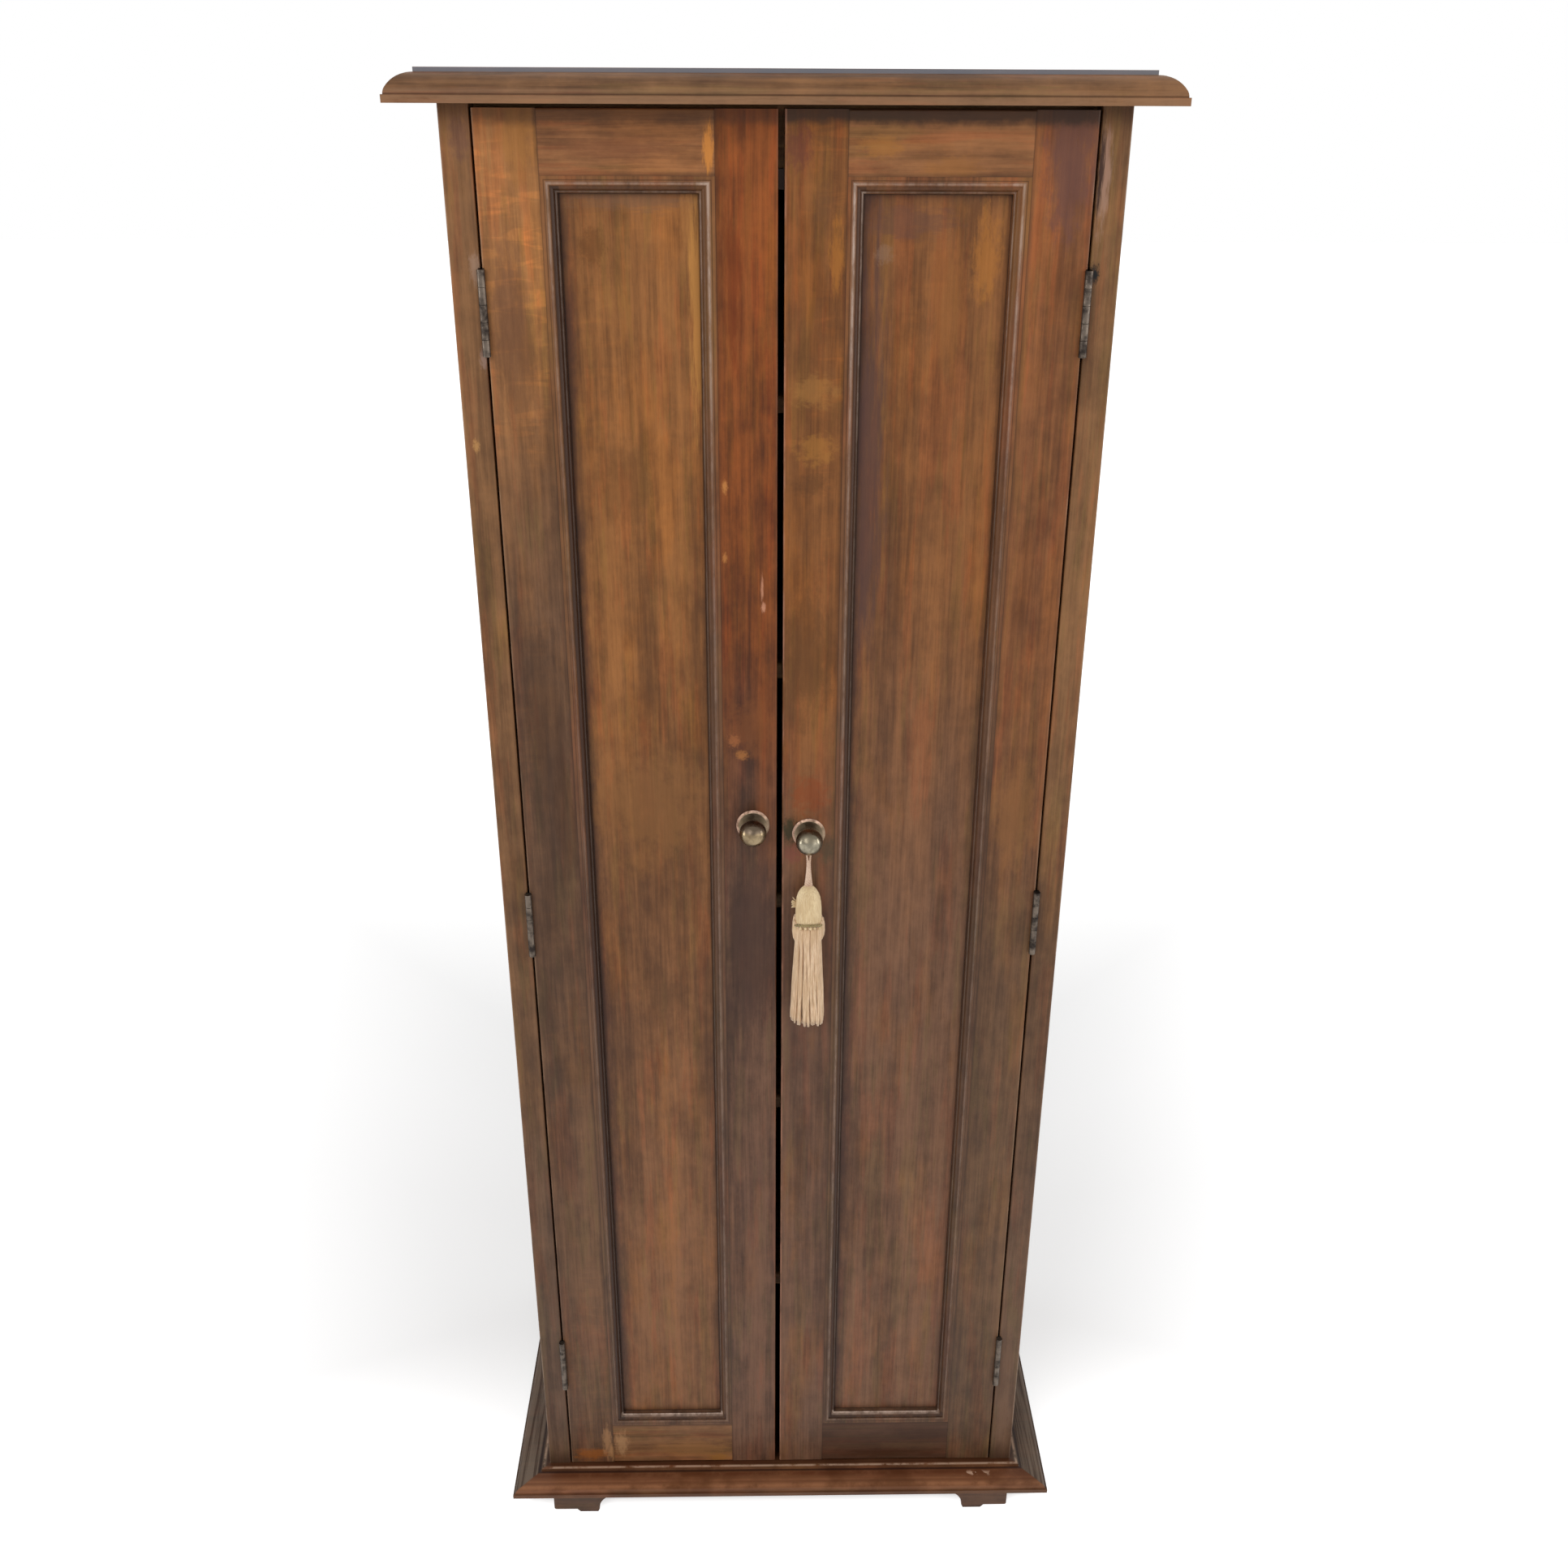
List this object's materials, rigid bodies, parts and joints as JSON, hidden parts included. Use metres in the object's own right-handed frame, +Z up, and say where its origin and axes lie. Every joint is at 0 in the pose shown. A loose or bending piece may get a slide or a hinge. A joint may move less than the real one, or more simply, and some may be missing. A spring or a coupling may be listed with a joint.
{
  "type": "collectors cabinet",
  "caption": "Narrow tall cabinet with framed and panelled doors on butt hinges, moulded top and base, shaped feet, ball knobs and a hanging key tassel.",
  "frame": {"origin": "on the floor, in the middle of the cabinet's outline seen from above", "axes": "+Z up, the doors face -Y, +X to the right of someone who faces the doors"},
  "size_m": [0.514, 0.312, 1.2652],
  "materials": {
    "top_wood": "stained hardwood, worn satin",
    "base_wood": "stained hardwood, worn satin",
    "foot_wood": "stained hardwood, dull",
    "side_wood": "stained hardwood, worn satin",
    "back_wood": "thin board, dull",
    "inner_wood": "unpolished wood",
    "door_wood": "stained hardwood, satin polish",
    "moulding_wood": "stained hardwood, worn on the arrises",
    "panel_wood": "golden brown veneer, satin polish",
    "hinge_bronze": "dark oxidised",
    "knob_brass": "aged, dark",
    "plate_brass": "aged, coppery",
    "catch_plastic": "brown",
    "strike_steel": "zinc plated",
    "tassel_cord_thread": "twisted cord",
    "tassel_thread": "silky thread",
    "collar_thread": "looped thread"
  },
  "bodies": {
    "carcass": {"back_panel": "back_wood", "base_board": "base_wood", "door_catch": "catch_plastic", "front_left_foot": "foot_wood", "front_right_foot": "foot_wood", "front_top_rail": "inner_wood", "hinge_pins": "hinge_bronze", "left_hinge_frame_leaves": "hinge_bronze", "left_side_board": "side_wood", "rear_left_foot": "foot_wood", "rear_right_foot": "foot_wood", "rear_top_rail": "inner_wood", "right_hinge_frame_leaves": "hinge_bronze", "right_side_board": "side_wood", "shelf_1": "inner_wood", "shelf_2": "inner_wood", "shelf_3": "inner_wood", "shelf_4": "inner_wood", "shelf_5": "inner_wood", "top_board": "top_wood"},
    "left_door": {"left_bottom_rail": "door_wood", "left_hinge_door_leaves": "hinge_bronze", "left_hinge_stile": "door_wood", "left_knob": "knob_brass", "left_knob_backplate": "plate_brass", "left_lock_stile": "door_wood", "left_panel": "panel_wood", "left_panel_moulding": "moulding_wood", "left_strike_plate": "strike_steel", "left_top_rail": "door_wood"},
    "right_door": {"right_bottom_rail": "door_wood", "right_hinge_door_leaves": "hinge_bronze", "right_hinge_stile": "door_wood", "right_knob": "knob_brass", "right_knob_backplate": "plate_brass", "right_lock_stile": "door_wood", "right_panel": "panel_wood", "right_panel_moulding": "moulding_wood", "right_strike_plate": "strike_steel", "right_top_rail": "door_wood"},
    "tassel": {"tassel_collar": "collar_thread", "tassel_cord": "tassel_cord_thread", "tassel_head": "tassel_thread", "tassel_skirt": "tassel_thread"}
  },
  "joints": [
    {"name": "left_door_hinge", "type": "hinge", "parent": "carcass", "child": "left_door", "pos_m": [-0.20425, -0.1262, 0.6], "axis": [0, 0, -1], "range_deg": [0, 170]},
    {"name": "right_door_hinge", "type": "hinge", "parent": "carcass", "child": "right_door", "pos_m": [0.20425, -0.1262, 0.6], "axis": [0, 0, 1], "range_deg": [0, 170]},
    {"name": "tassel_swing", "type": "hinge", "parent": "right_door", "child": "tassel", "pos_m": [0.02, -0.1271, 0.7185], "axis": [0, 1, 0], "range_deg": [-20, 20]}
  ]
}
